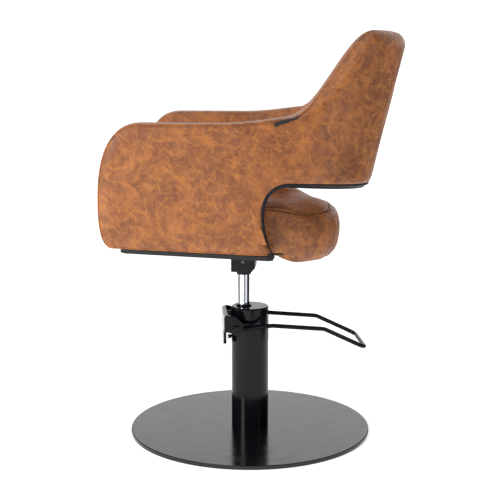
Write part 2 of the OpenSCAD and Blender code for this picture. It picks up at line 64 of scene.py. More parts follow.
NOSE_LOW = (-0.272, 0.034)           # the same for its lower arc

SEAT_ORIGIN = Vector((0.0, -0.015, 0.480))
SEAT_TILT = math.radians(-2.2)
CUSHION_HW = 0.234                   # half of the cushion's width
CUSHION_FRONT, CUSHION_REAR, CUSHION_WIDEST = -0.300, 0.230, 0.015
SEAM_H = 0.107                       # height of the cushion's seam over the dust cover

# ---------------------------------------------------------------- small helpers


def smooth(t):
    c = np.clip(t, 0.0, 1.0)
    return c * c * (3 - 2 * c)


def mix(a, b, t):
    return a + (b - a) * t


def new_object(name, verts, faces, material):
    """A mesh object from points and faces."""
    mesh = bpy.data.meshes.new(name)
    mesh.from_pydata([tuple(map(float, v)) for v in verts], [], [tuple(map(int, f)) for f in faces])
    mesh.validate()
    obj = bpy.data.objects.new(name, mesh)
    bpy.context.scene.collection.objects.link(obj)
    mesh.polygons.foreach_set("use_smooth", [True] * len(mesh.polygons))
    mesh.materials.append(material)
    return obj


def outward(obj):
    """Turns the faces of a closed mesh to look outward."""
    bm = bmesh.new()
    bm.from_mesh(obj.data)
    bmesh.ops.recalc_face_normals(bm, faces=bm.faces)
    if bm.calc_volume(signed=True) < 0:
        bmesh.ops.reverse_faces(bm, faces=bm.faces)
    bm.to_mesh(obj.data)
    bm.free()
    return obj


def ring_faces(rings, size, looped):
    """Quads between neighbouring rings of equal size, the rings closed on themselves."""
    faces = []
    for i in range(rings if looped else rings - 1):
        a, b = i * size, ((i + 1) % rings) * size
        for j in range(size):
            k = (j + 1) % size
            faces.append((a + j, a + k, b + k, b + j))
    return faces


def skin(name, rings, material, capped=True, looped=False):
    """A closed mesh through a list of rings of points."""
    size = len(rings[0])
    verts = [p for r in rings for p in r]
    faces = ring_faces(len(rings), size, looped)
    if capped and not looped:
        for base in (0, (len(rings) - 1) * size):
            verts.append(tuple(np.mean([verts[base + j] for j in range(size)], axis=0)))
            centre = len(verts) - 1
            faces += [(base + j, base + (j + 1) % size, centre) for j in range(size)]
    return outward(new_object(name, verts, faces, material))


def cord_round(name, path, radius, material, sides):
    """A round cord swept along a closed path of points."""
    tangent = np.roll(path, -1, 0) - np.roll(path, 1, 0)
    tangent /= np.linalg.norm(tangent, axis=1)[:, None]
    side = np.cross(tangent, (0.0, 0.0, 1.0))
    side /= np.maximum(np.linalg.norm(side, axis=1), 1e-9)[:, None]
    top = np.cross(side, tangent)
    a = np.arange(sides)[:, None] * 2 * math.pi / sides
    rings = [path[i] + radius * (np.cos(a) * side[i] + np.sin(a) * top[i]) for i in range(len(path))]
    return skin(name, rings, material, capped=False, looped=True)


def apply_modifiers(obj):
    depsgraph = bpy.context.evaluated_depsgraph_get()
    mesh = bpy.data.meshes.new_from_object(obj.evaluated_get(depsgraph))
    old = obj.data
    obj.modifiers.clear()
    obj.data = mesh
    bpy.data.meshes.remove(old)
    return obj


def place(obj, body, slot, *nodes):
    """The piece rides on a body and stands for CAD nodes, which are hidden; the slot is not used."""
    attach(obj, body)
    if nodes:
        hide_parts(*nodes)
    return obj


# ---------------------------------------------------------------- materials


class Nodes:
    """A short way to write a material's node tree."""

    def __init__(self, name):
        self.material = bpy.data.materials.new(name)
        self.material.use_nodes = True
        self.tree = self.material.node_tree
        self.shader = self.tree.nodes["Principled BSDF"]

    def add(self, kind, inputs=None, **settings):
        node = self.tree.nodes.new(kind)
        for key, value in settings.items():
            setattr(node, key, value)
        for key, value in (inputs or {}).items():
            if isinstance(value, bpy.types.NodeSocket):
                self.tree.links.new(value, node.inputs[key])
            else:
                node.inputs[key].default_value = value
        return node

    def coords(self):
        return self.add("ShaderNodeTexCoord").outputs["Object"]

    def noise(self, vector, scale, detail=2.0, roughness=0.5, distortion=0.0):
        node = self.add("ShaderNodeTexNoise", {
            "Vector": vector, "Scale": scale, "Detail": detail,
            "Roughness": roughness, "Distortion": distortion})
        return node.outputs["Fac"]

    def math(self, op, a, b=0.0):
        return self.add("ShaderNodeMath", {0: a, 1: b}, operation=op).outputs[0]

    def vector(self, op, a, b):
        return self.add("ShaderNodeVectorMath", {0: a, 1: b}, operation=op).outputs[0]

    def span(self, value, lo, hi, to_lo=0.0, to_hi=1.0):
        node = self.add("ShaderNodeMapRange", {
            "Value": value, "From Min": lo, "From Max": hi, "To Min": to_lo, "To Max": to_hi},
            interpolation_type="SMOOTHSTEP")
        return node.outputs["Result"]

    def blend(self, fac, a, b):
        node = self.add("ShaderNodeMix", {"Factor": fac, "A": a, "B": b}, data_type="RGBA")
        return node.outputs["Result"]

    def coat(self, mask, share, a, b):
        """A share of colour b over colour a, where the mask is."""
        return self.blend(self.math("MULTIPLY", mask, share), a, b)

    def bump(self, height, strength, distance, normal=None):
        inputs = {"Height": height, "Strength": strength, "Distance": distance}
        if normal is not None:
            inputs["Normal"] = normal
        return self.add("ShaderNodeBump", inputs).outputs["Normal"]

    def set(self, **values):
        for key, value in values.items():
            socket = self.shader.inputs[key.replace("_", " ")]
            if isinstance(value, bpy.types.NodeSocket):
                self.tree.links.new(value, socket)
            else:
                socket.default_value = value
        return self.material


def rgb(r, g, b, shade=1.0):
    """An sRGB colour, 0 to 255, as the linear colour that shaders take."""
    def linear(c):
        c *= shade / 255
        return c / 12.92 if c <= 0.04045 else ((c + 0.055) / 1.055) ** 2.4
    return (linear(r), linear(g), linear(b), 1.0)


def dimmed(colour, share):
    """A shader colour, darker by a share of itself."""
    return tuple(c * share for c in colour[:3]) + (1,)


# The leather's pale strokes: angle on the side panels in degrees, length and width in metres, where
# each pattern starts, and how strong it is
STROKES = [(35, 0.044, 0.0100, 3.1, 0.46), (-55, 0.038, 0.0090, 9.4, 0.42), (80, 0.042, 0.0095, 17.7, 0.40),
           (5, 0.046, 0.0105, 28.3, 0.40), (-20, 0.020, 0.0042, 41.9, 0.34)]


def leather(name, shade=1.0):
    """Waxed tan leather: brown clouds under short pale strokes that run in several directions."""
    n = Nodes(name)
    p = n.coords()
    warp = n.add("ShaderNodeTexNoise", {"Vector": p, "Scale": 14.0, "Detail": 2.0}).outputs["Color"]
    q = n.vector("ADD", p, n.vector("MULTIPLY", warp, (0.016, 0.016, 0.016)))

    def strokes(degrees, length, width, start, lo, hi):
        turned = n.add("ShaderNodeVectorRotate", {"Vector": q, "Angle": math.radians(degrees)},
                       rotation_type="X_AXIS").outputs[0]
        scaled = n.vector("MULTIPLY", turned, (0.7 / length, 1 / length, 1 / width))
        moved = n.vector("ADD", scaled, (start, start * 1.7, -start))
        return n.span(n.noise(moved, 1.0, 3.0, 0.6), lo, hi)

    clouds = n.span(n.noise(p, 15.0, 4.0, 0.62, 0.4), 0.36, 0.64)
    patches = n.span(n.noise(q, 42.0, 3.0, 0.65, 0.5), 0.44, 0.64)
    base = n.blend(clouds, rgb(138, 82, 50, shade), rgb(169, 103, 58, shade))
    base = n.coat(patches, 0.6, base, rgb(120, 70, 46, shade))
    pale = 0.0
    for degrees, length, width, start, amount in STROKES:
        mark = strokes(degrees, length, width, start, 0.53, 0.68)
        base = n.coat(mark, amount, base, rgb(203, 128, 58, shade))
        pale = n.math("MAXIMUM", pale, mark)
    hair = strokes(60, 0.030, 0.0016, 55.5, 0.60, 0.68)
    base = n.coat(hair, 0.45, base, rgb(220, 154, 90, shade))
    pebble = n.add("ShaderNodeTexVoronoi", {"Vector": p, "Scale": 620.0}, feature="SMOOTH_F1")
    pores = n.math("MULTIPLY", n.noise(p, 1500.0, 2.0), 0.3)
    grain = n.math("ADD", n.math("MULTIPLY", pebble.outputs["Distance"], 0.8), pores)
    creases = n.math("ABSOLUTE", n.math("SUBTRACT", n.noise(q, 120.0, 3.0, 0.6, 1.0), 0.5))
    normal = n.bump(creases, 0.25, 0.0012, n.bump(grain, 0.35, 0.0004))
    worn = n.span(n.noise(p, 60.0, 3.0), 0.3, 0.7, 0.40, 0.52)
    rough = n.math("ADD", worn, n.math("MULTIPLY", pale, 0.06))
    return n.set(Base_Color=base, Roughness=rough, Normal=normal, Specular_IOR_Level=0.42,
                 Coat_Weight=0.08, Coat_Roughness=0.28)


def gloss_black(name, roughness, level):
    """Powder-coated gloss black steel, with a faint orange peel and dust."""
    n = Nodes(name)
    p = n.coords()
    dust = n.span(n.noise(p, 90.0, 5.0, 0.7), 0.5, 0.8)
    colour = n.coat(dust, 0.35, (0.0045, 0.0050, 0.0070, 1), (0.010, 0.011, 0.014, 1))
    rough = n.span(n.noise(p, 35.0, 4.0, 0.6), 0.25, 0.75, roughness * 0.75, roughness * 1.5)
    peel = n.bump(n.noise(p, 420.0, 2.0), 0.05, 0.0003)
    return n.set(Base_Color=colour, Roughness=rough, Normal=peel, Specular_IOR_Level=level)


def satin_black(name, roughness=0.36):
    """Satin black paint or vinyl."""
    n = Nodes(name)
    p = n.coords()
    wear = n.span(n.noise(p, 60.0, 4.0, 0.6), 0.35, 0.7)
    colour = n.blend(wear, (0.006, 0.0066, 0.0085, 1), (0.011, 0.012, 0.015, 1))
    rough = n.span(n.noise(p, 160.0, 3.0), 0.3, 0.7, roughness * 0.85, roughness * 1.2)
    tooth = n.bump(n.noise(p, 900.0, 2.0), 0.12, 0.0004)
    return n.set(Base_Color=colour, Roughness=rough, Normal=tooth, Specular_IOR_Level=0.30)


def metal(name, colour, roughness, scratch):
    """Bare or plated metal, with brushed or turned marks."""
    n = Nodes(name)
    p = n.coords()
    marks = n.noise(n.vector("MULTIPLY", p, (40.0, 40.0, 900.0)), 1.0, 2.0)
    tint = n.blend(n.span(n.noise(p, 50.0, 3.0), 0.3, 0.7), colour, dimmed(colour, 0.86))
    rough = n.span(marks, 0.3, 0.7, roughness * 0.8, roughness * 1.25)
    return n.set(Base_Color=tint, Roughness=rough, Normal=n.bump(marks, scratch, 0.0002), Metallic=1.0)


def woven(name, colour, pitch):
    """Plain-woven cloth or webbing."""
    n = Nodes(name)
    p = n.coords()
    warp, weft = (n.add("ShaderNodeTexWave", {"Vector": p, "Scale": pitch, "Distortion": 0.6, "Detail": 1.0},
                        bands_direction=axis).outputs["Fac"] for axis in "XZ")
    weave = n.math("MAXIMUM", warp, weft)
    return n.set(Base_Color=n.blend(weave, dimmed(colour, 0.5), colour), Sheen_Weight=0.2,
                 Roughness=n.span(weave, 0, 1, 0.9, 0.75), Normal=n.bump(weave, 0.4, 0.0004))


def timber(name, pale, dark):
    """Plywood or beech, with grain along Y."""
    n = Nodes(name)
    grain = n.noise(n.vector("MULTIPLY", n.coords(), (60.0, 6.0, 260.0)), 1.0, 5.0, 0.6, 0.8)
    return n.set(Base_Color=n.blend(n.span(grain, 0.35, 0.7), pale, dark),
                 Roughness=n.span(grain, 0.3, 0.7, 0.55, 0.75), Normal=n.bump(grain, 0.2, 0.0004))


def spongy(name, colour):
    """Open-cell foam or rubber."""
    n = Nodes(name)
    cells = n.add("ShaderNodeTexVoronoi", {"Vector": n.coords(), "Scale": 450.0}).outputs["Distance"]
    return n.set(Base_Color=n.blend(n.span(cells, 0.1, 0.7), dimmed(colour, 0.8), colour),
                 Roughness=n.span(cells, 0, 1, 0.8, 0.95), Normal=n.bump(cells, 0.4, 0.0006))


LEATHER = leather("tan_leather")
# A copy of the tan leather darkened to 0.94 of its colour: painted shade along the seams' welts.
SHADED_SEAM_LEATHER = leather("tan_leather_seam_painted_shade", 0.94)
GLOSS = gloss_black("gloss_black_coat", 0.12, 0.22)
GLOSS_DISC = gloss_black("gloss_black_disc", 0.16, 0.5)
SATIN = satin_black("satin_black_paint")
CHROME = metal("chrome_plate", (0.74, 0.76, 0.84, 1), 0.05, 0.02)
ZINC = metal("zinc_plate", (0.60, 0.60, 0.60, 1), 0.32, 0.1)
STEEL = metal("dark_steel", (0.28, 0.28, 0.29, 1), 0.38, 0.1)
BRONZE = metal("bronze", (0.62, 0.44, 0.22, 1), 0.35, 0.1)
RUBBER = spongy("black_rubber", (0.022, 0.022, 0.023, 1))
SEAL = spongy("red_seal", (0.26, 0.04, 0.03, 1))
PLY = timber("pale_plywood", (0.52, 0.36, 0.19, 1), (0.40, 0.25, 0.12, 1))
BLACK_PLY = timber("black_stained_board", (0.012, 0.012, 0.013, 1), (0.02, 0.02, 0.022, 1))
FOAM = spongy("cream_foam", (0.72, 0.64, 0.45, 1))
WEB = woven("elastic_webbing", (0.10, 0.10, 0.11, 1), 260.0)
DUST = woven("dust_cloth", (0.018, 0.018, 0.02, 1), 380.0)
TRIM = satin_black("black_piping", 0.55)
TAG = woven("woven_tag", (0.02, 0.021, 0.026, 1), 420.0)
THREAD = woven("brown_thread", (0.16, 0.075, 0.035, 1), 900.0)

CAD_MATERIALS = {
    GLOSS_DISC: ["base_disc"],
    GLOSS: ["pump_tube", "pump_head", "gland_ring", "pedal_bar", "pedal_yoke", "pivot_bolts"],
    SATIN: ["seat_hub", "seat_plate"],
    CHROME: ["ram"],
    ZINC: ["base_screws", "plunger", "release_pin", "tee_nuts", "shell_screws"],
    STEEL: ["foot_plug", "pressure_tube", "plunger_spring", "release_spring", "ram_stop_ring",
            "hub_screw", "plate_bolts"],
    BRONZE: ["guide_bush", "thrust_washer", "swivel_bush"],
    RUBBER: ["floor_ring", "wiper_seal"],
    SEAL: ["ram_seal"],
    PLY: ["seat_frame", "shell_frame"],
    BLACK_PLY: ["seat_board"],
    FOAM: ["seat_foam", "shell_outer_pad", "shell_inner_pad"],
    WEB: ["seat_webbing"],
    DUST: ["dust_cover"],
    LEATHER: ["seat_side_cover", "seat_top_cover", "shell_outer_cover", "shell_inner_cover",
              "shell_rim_cover"],
    SHADED_SEAM_LEATHER: ["seat_welt", "shell_welt"],
    TRIM: ["shell_lower_trim"],
    TAG: ["side_tag"],
}
for material, names in CAD_MATERIALS.items():
    for node_name in names:
        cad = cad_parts[node_name]
        cad.data.materials.clear()
        cad.data.materials.append(material)


# ---------------------------------------------------------------- the shell's chart

# s runs back along the arm and round to the middle of the back, z is the height, and the depth
# d leads inward from the outer face, as in the CAD model.


def rear_y(z):
    return BACK_Y + (z - BACK_Z) * RECLINE


def shell_point(s, z, d, side=1.0):
    """Points of the shell, from arrays of chart coordinates."""
    s, z, d = np.broadcast_arrays(np.asarray(s, float), z, d)
    t = np.clip(s / TURN_LEN, 0.0, 1.0)
    y = rear_y(z)
    wide = np.full_like(z, HALF_W)
    px = np.stack([wide, wide, np.full_like(z, TURN_REAR * HALF_W), 0 * z])
    py = np.stack([0 * z, TURN_SIDE * y, y, y])
    w = np.stack([(1 - t) ** 3, 3 * (1 - t) ** 2 * t, 3 * (1 - t) * t * t, t ** 3])
    dw = np.stack([-3 * (1 - t) ** 2, 3 * (1 - t) ** 2 - 6 * (1 - t) * t,
                   6 * (1 - t) * t - 3 * t * t, 3 * t * t])
    x0, y0 = (w * px).sum(0), (w * py).sum(0) + np.minimum(s, 0.0)
    tx, ty = (dw * px).sum(0), (dw * py).sum(0)
    length = np.hypot(tx, ty)
    nx, ny = ty / length, -tx / length
    return np.stack([side * (x0 - d * nx), y0 - d * ny, z], -1)


def top_z(s):
    """The top climbs gently along the arm's rear end, then steeply to the back's top."""
    rise = ARM_RISE * smooth((s + 0.035) / 0.209)
    return ARM_TOP + rise + (BACK_TOP - ARM_TOP - ARM_RISE) * smooth((s - 0.116) / 0.242)


def bezier2(points, t):
    p = np.asarray(points, float)
    t = np.asarray(t, float)[..., None]
    return (1 - t) ** 3 * p[0] + 3 * (1 - t) ** 2 * t * p[1] + 3 * (1 - t) * t * t * p[2] + t ** 3 * p[3]


# the notch's edge, as the control points of a cubic curve on the chart
NOTCH = [(0.1045, ARM_LOW_REAR), (0.058, 0.533), (0.038, 0.640), (0.125, 0.6405)]
# how many columns the nose, arm, notch and back have, from the front
PARTS = (26, 22, 34, 50)
# where the arm's and the notch's columns end on the upper chain
ARM_COLUMNS_END, NOTCH_COLUMNS_END = -0.035, 0.135
HALF_N = sum(PARTS)
ROWS = 26
NOSE_POWER = 2 / 2.5


def upper(e):
    """The outline's upper chain, e inside it: chart points from the arm's nose to the back's middle."""
    a = np.radians(np.linspace(NOSE_DEG, 90, PARTS[0], endpoint=False))
    nose = np.stack([NOSE_TOP[0] - (NOSE_TOP[1] - e) * np.cos(a) ** NOSE_POWER,
                     NOSE_Z + (ARM_TOP - NOSE_Z - e) * np.sin(a) ** NOSE_POWER], -1)
    s = np.concatenate([np.linspace(NOSE_TOP[0], ARM_COLUMNS_END, PARTS[1], endpoint=False),
                        np.linspace(ARM_COLUMNS_END, NOTCH_COLUMNS_END, PARTS[2], endpoint=False),
                        np.linspace(NOTCH_COLUMNS_END, TURN_LEN, PARTS[3] + 1)])
    return np.concatenate([nose, np.stack([s, top_z(s) - e], -1)])


def lower(e):
    """The outline's lower chain, e inside it, with the notch behind the side panel."""
    a = np.radians(np.linspace(NOSE_DEG, 90, PARTS[0], endpoint=False))
    nose = np.stack([NOSE_LOW[0] - (NOSE_LOW[1] - e) * np.cos(a) ** NOSE_POWER,
                     NOSE_Z - (NOSE_Z - ARM_LOW_FRONT - e) * np.sin(a) ** NOSE_POWER], -1)
    t = np.linspace(0, 1, PARTS[1], endpoint=False)
    arm = np.stack([mix(NOSE_LOW[0], NOTCH[0][0] - e, t), mix(ARM_LOW_FRONT, ARM_LOW_REAR, t) + e], -1)
    moved = [(NOTCH[0][0] - e, NOTCH[0][1] + e), (NOTCH[1][0] - e, NOTCH[1][1]),
             (NOTCH[2][0] - e, NOTCH[2][1] + e), (NOTCH[3][0], NOTCH[3][1] + e)]
    notch = bezier2(moved, np.linspace(0, 1, PARTS[2], endpoint=False))
    t = np.linspace(0, 1, PARTS[3] + 1)
    back = np.stack([mix(NOTCH[3][0], TURN_LEN, t), mix(NOTCH[3][1], BACK_LOW, t) + e], -1)
    return np.concatenate([nose, arm, notch, back])


def inset(chain, e):
    """A chain or loop with its own inset at each point. Every outline is linear in its inset."""
    plain = chain(0.0)
    return plain + np.asarray(e)[..., None] * (chain(1.0) - plain)


def column_grid(e_low, e_high):
    """Chart points of the whole inside of the outline: [column, row]."""
    lo, hi = inset(lower, e_low), inset(upper, e_high)
    r = np.linspace(0, 1, ROWS + 1)[None, :, None]
    return lo[:, None] * (1 - r) + hi[:, None] * r


def outline_loop(e):
    """The outline, e inside it, from the back's lower middle round the nose to its upper middle."""
    lo, hi = lower(e), upper(e)
    r = np.linspace(0, 1, ROWS + 1)[1:-1, None]
    return np.concatenate([lo[::-1], lo[0] * (1 - r) + hi[0] * r, hi])


def edge_sizes(s, top):
    """How the section rounds off: the outer and inner radius, the core's inset and the angle from the
    crest to the outer panel's seam. It is tight along the arms and full round the back's top."""
    share = smooth((s - 0.07) / 0.16)
    outer_r = mix(0.0085, mix(0.015, 0.036, top), share)
    inner_r = mix(0.017, mix(0.018, 0.025, top), share)
    core_e = mix(0.026, mix(0.024, 0.042, top), share)
    turn = mix(math.radians(54), mix(math.radians(48), math.radians(3), top), share)
    return outer_r, inner_r, core_e, turn


BULGE_OUT, BULGE_IN = 0.0025, 0.006


def waves(s, z):
    """Slight unevenness of the padding."""
    return 0.0007 * np.sin(38 * s + 9 * z) * np.sin(27 * z + 4 * s) + 0.0004 * np.sin(71 * s - 40 * z)


def roll(arc, radius):
    """Inset, depth and facing of a point that lies arc along the rounded edge from its crest."""
    turn = np.minimum(arc / radius, math.pi / 2)
    flat = np.maximum(arc - radius * math.pi / 2, 0.0)
    return radius * (1 - np.cos(turn)) + flat, radius * (1 - np.sin(turn)), np.cos(turn), np.sin(turn)


def seam_relief(gap):
    """Height of the corded ridge on the rim's side of the seam, less the depth of its groove."""
    return 0.0011 * np.exp(-((gap - 0.0026) / 0.0013) ** 2) - 0.0017 * np.exp(-(gap / 0.0011) ** 2)


class ShellSheet:
    """Collects the surface of part of the shell as a grid, then gives it thickness."""

    def __init__(self):
        self.verts, self.faces, self.inward = [], [], []

    def add(self, points, backs):
        """points and backs are [i, j, xyz] grids: the surface, and where its other side goes."""
        start = len(self.verts)
        ni, nj = points.shape[:2]
        self.verts += points.reshape(-1, 3).tolist()
        self.inward += backs.reshape(-1, 3).tolist()
        for i in range(ni - 1):
            for j in range(nj - 1):
                a = start + i * nj + j
                self.faces.append((a, a + 1, a + nj + 1, a + nj))

    def build(self, name, material):
        """Welds the grids, closes the sheet with its other side and makes the object."""
        count = len(self.verts)
        bm = bmesh.new()
        for v in self.verts + self.inward:
            bm.verts.new(v)
        bm.verts.ensure_lookup_table()
        for f in self.faces:
            bm.faces.new([bm.verts[i] for i in f])
            bm.faces.new([bm.verts[i + count] for i in reversed(f)])
        doubles = {}
        keys = {}
        for i, v in enumerate(self.verts):
            key = tuple(round(c, 6) for c in v)
            doubles[i] = keys.setdefault(key, i)
        target = {}
        for i in range(count):
            if doubles[i] != i:
                target[bm.verts[i]] = bm.verts[doubles[i]]
                target[bm.verts[i + count]] = bm.verts[doubles[i] + count]
        edge_use = {}
        for f in self.faces:
            q = [doubles[i] for i in f]
            for a, b in zip(q, q[1:] + q[:1]):
                if a != b:
                    edge_use.setdefault(frozenset((a, b)), []).append((a, b))
        bmesh.ops.weld_verts(bm, targetmap=target)
        bm.verts.ensure_lookup_table()
        fresh = {}
        for v in bm.verts:
            fresh[tuple(round(c, 7) for c in v.co)] = v
        for uses in edge_use.values():
            if len(uses) == 1:
                a, b = uses[0]
                quad = [fresh.get(tuple(round(c, 7) for c in Vector(p))) for p in
                        (self.verts[b], self.verts[a], self.inward[a], self.inward[b])]
                if None not in quad and len(set(quad)) == 4:
                    try:
                        bm.faces.new(quad)
                    except ValueError:
                        pass
        bmesh.ops.dissolve_degenerate(bm, edges=bm.edges, dist=1e-6)
        mesh = bpy.data.meshes.new(name)
        bm.to_mesh(mesh)
        bm.free()
        mesh.polygons.foreach_set("use_smooth", [True] * len(mesh.polygons))
        mesh.materials.append(material)
        obj = bpy.data.objects.new(name, mesh)
        bpy.context.scene.collection.objects.link(obj)
        return outward(obj)


SKIN_T = 0.0018                      # thickness of the modelled leather


def shell_covers():
    """The outer panel up to its seam, and the inner panel that rolls over the rim to meet it."""
    outer_sheet, inner_sheet = ShellSheet(), ShellSheet()
    top = np.r_[np.zeros(HALF_N + ROWS), np.ones(HALF_N + 1)]
    outer_r, inner_r, core_e, turn = edge_sizes(outline_loop(0.0)[:, 0], top)
    to_seam = outer_r * turn
    to_core = outer_r * (math.pi / 2 - turn) + core_e - outer_r
    flat = SHELL_T - outer_r - inner_r
    fine = [0.0, 0.0004, 0.0009, 0.0016, 0.0026]
    away = np.stack([np.full_like(to_core, q) for q in fine]
                    + [mix(fine[-1], to_core, (j / 14) ** 1.3) for j in range(1, 15)])
    climb = np.linspace(0, 1, 15)[:, None] * to_seam
    across = np.linspace(0, 1, 13)[:, None]
    inner_arc = np.linspace(0, 1, 20)[:, None] ** 1.2 * (inner_r * math.pi / 2 + core_e - inner_r)
    core_sizes = [edge_sizes(chain(0.0)[:, 0], k)[2] for chain, k in ((lower, 0.0), (upper, 1.0))]
    core = column_grid(*core_sizes)
    core_waves = waves(core[..., 0], core[..., 1])

    def strip(sheet, side, e, d, face_e, face_d, gap):
        """Adds rings of the loop, from their inset and depth, with the seam's relief."""
        lift = seam_relief(gap)
        e, d = e - lift * face_e, d - lift * face_d
        at = inset(outline_loop, e)
        under = inset(outline_loop, e + SKIN_T * face_e)
        sheet.add(shell_point(at[..., 0], at[..., 1], d, side),
                  shell_point(under[..., 0], under[..., 1], d + SKIN_T * face_d, side))

    for side in (1.0, -1.0):
        e, d, face_e, face_d = roll(to_seam + away, outer_r)
        at = inset(outline_loop, e)
        d = d - (BULGE_OUT + waves(at[..., 0], at[..., 1])) * smooth(e / core_e)
        strip(outer_sheet, side, e, d, face_e, face_d, -away)
        d = -BULGE_OUT - core_waves
        outer_sheet.add(shell_point(core[..., 0], core[..., 1], d, side),
                        shell_point(core[..., 0], core[..., 1], d + SKIN_T, side))
        e, d, face_e, face_d = roll(to_seam - climb, outer_r)
        strip(inner_sheet, side, e, d, face_e, face_d, climb)
        crown = 0.0016 * np.clip(flat / 0.038, 0.2, 1.0)
        e = -crown * np.sin(math.pi * across)
        strip(inner_sheet, side, e, outer_r + flat * across, np.ones_like(e), 0 * e, to_seam + flat * across)
        e, d, face_e, face_d = roll(inner_arc, inner_r)
        at = inset(outline_loop, e)
        d = SHELL_T - d + (BULGE_IN + waves(at[..., 0], at[..., 1])) * smooth(e / core_e)
        strip(inner_sheet, side, e, d, face_e, -face_d, to_seam + flat + inner_arc)
        d = SHELL_T + BULGE_IN + core_waves
        inner_sheet.add(shell_point(core[..., 0], core[..., 1], d, side),
                        shell_point(core[..., 0], core[..., 1], d - SKIN_T, side))
    outer = outer_sheet.build("shell_outer_leather", LEATHER)
    inner = inner_sheet.build("shell_inner_leather", LEATHER)
    return outer, inner


outer_leather, inner_leather = shell_covers()
place(outer_leather, "seat", "leather_tan", "shell_outer_cover", "shell_outer_pad")
place(inner_leather, "seat", "leather_tan",
      "shell_inner_cover", "shell_inner_pad", "shell_rim_cover", "shell_welt")


def plywood_frame():
    """The bent plywood inside the shell, a little short of the rim."""
    grid = column_grid(np.full(HALF_N + 1, 0.0080), np.full(HALF_N + 1, 0.0060))
    sheet = ShellSheet()
    for side in (1.0, -1.0):
        sheet.add(*(shell_point(grid[..., 0], grid[..., 1], d, side) for d in FRAME_DEPTHS))
    return sheet.build("shell_plywood", PLY)


plywood = plywood_frame()
place(plywood, "seat", "plywood", "shell_frame")


def lower_trim():
    """Black piping up the notch and under the back, with the cloth strip that closes the rim behind it."""
    base = lower(0.0)
    first = PARTS[0] + PARTS[1] - 1
    outer_r, inner_r = edge_sizes(base[:, 0], 0.0)[:2]
    bead = mix(0.0050, 0.0028, smooth((base[:, 1] - 0.60) / 0.035))
    e_mid, d_mid = roll(outer_r * math.radians(50), outer_r)[:2]
    section = []
    for k in range(12):
        a = math.radians(-130 + k * 22)
        section.append((e_mid + bead * math.sin(a), d_mid - bead * math.cos(a)))
    inner_d = SHELL_T - inner_r
    for e, f in ((-0.0036, 0.02), (-0.0040, 0.5), (-0.0034, 1.0), (0.0010, 1.0), (0.0010, 0.5)):
        section.append((np.full_like(bead, e), mix(d_mid + bead, inner_d, f)))
    rings = []
    for side in (1.0, -1.0):
        lines = []
        for e, d in section[::-1]:
            at = inset(lower, e)
            lines.append(shell_point(at[:, 0], at[:, 1], d, side))
        half = [[line[k] for line in lines] for k in range(first, HALF_N + 1)]
        rings += half if side > 0 else half[-2::-1]
    return skin("shell_edge_piping", rings, TRIM)


piping = lower_trim()
place(piping, "seat", "trim_black", "shell_lower_trim")


def beside_seam(s, away):
    """Inset and depth of points on the outer panel, away from its upper seam."""
    outer_r, _, core_e, turn = edge_sizes(s, 1.0)
    e, d = roll(outer_r * turn + away, outer_r)[:2]
    return e, d - (BULGE_OUT + waves(s, top_z(s) - e)) * smooth(e / core_e)


def seam_stitches():
    """Thread stitches that follow the outer panel's seam."""
    verts, faces = [], []
    pitch, length, r = 0.0062, 0.0042, 0.0004
    plain, step = upper(0.0), upper(1.0) - upper(0.0)
    for side in (1.0, -1.0):
        e, d = beside_seam(plain[:, 0], 0.0045)
        chart = plain + e[:, None] * step
        line = shell_point(chart[:, 0], chart[:, 1], d - 0.0001, side)
        steps = np.r_[0, np.cumsum(np.linalg.norm(np.diff(line, axis=0), axis=1))]
        for at in np.arange(0.004, steps[-1] - 0.004, pitch):
            ends = [np.array([np.interp(q, steps, line[:, k]) for k in range(3)]) for q in (at, at + length)]
            along = ends[1] - ends[0]
            along /= np.linalg.norm(along)
            side_v = np.cross(along, (0.3, 0.1, 1.0))
            side_v /= np.linalg.norm(side_v)
            up = np.cross(side_v, along)
            base = len(verts)
            for f, k in ((0.0, 0.3), (0.2, 1.0), (0.8, 1.0), (1.0, 0.3)):
                centre = mix(ends[0], ends[1], f)
                for j in range(6):
                    a = j * math.pi / 3
                    verts.append(centre + r * k * (math.cos(a) * side_v + math.sin(a) * up))
            for i in range(3):
                for j in range(6):
                    a, b = base + i * 6 + j, base + i * 6 + (j + 1) % 6
                    faces.append((a, b, b + 6, a + 6))
            faces.append(tuple(base + j for j in range(6)))
            faces.append(tuple(base + 18 + j for j in range(6)))
    return outward(new_object("shell_seam_stitches", verts, faces, THREAD))


stitches = seam_stitches()
place(stitches, "seat", "leather_seam")


def side_tag():
    """A blank folded tape tag, caught in the seam of the left arm."""
    s0, length, height, thick, slant = 0.079, 0.053, 0.0088, 0.0011, 0.0045
    rings = []
    for i in range(25):
        f = i / 24
        s = s0 + length * f
        drop = height * (1 - 0.25 * f)
        lift = 0.0018 + 0.0008 * math.sin(2.2 * math.pi * f)
        ring = []
        for face in (-0.5, 0.5):
            for k in range(7)[::1 if face < 0 else -1]:
                e, d = beside_seam(np.array(s), mix(slant * 0.6, -slant, f) + drop * k / 6)
                proud = lift * (0.35 + 0.65 * math.sin(math.pi * k / 12))
                ring.append(tuple(shell_point(s, top_z(s) - e, d - proud + thick * face)))
        rings.append(ring)
    return skin("blank_side_tag", rings, TAG)


tag = side_tag()
place(tag, "seat", "tag_woven", "side_tag")

# ---------------------------------------------------------------- the cushion

SEAT_FRAME = Matrix.Translation(SEAT_ORIGIN) @ Matrix.Rotation(SEAT_TILT, 4, "X")


def rear_share(y):
    """How far round the rear a point of the cushion's outline is: 0 beside the arms, 1 at the rear."""
    return smooth((y - 0.075) / 0.115)


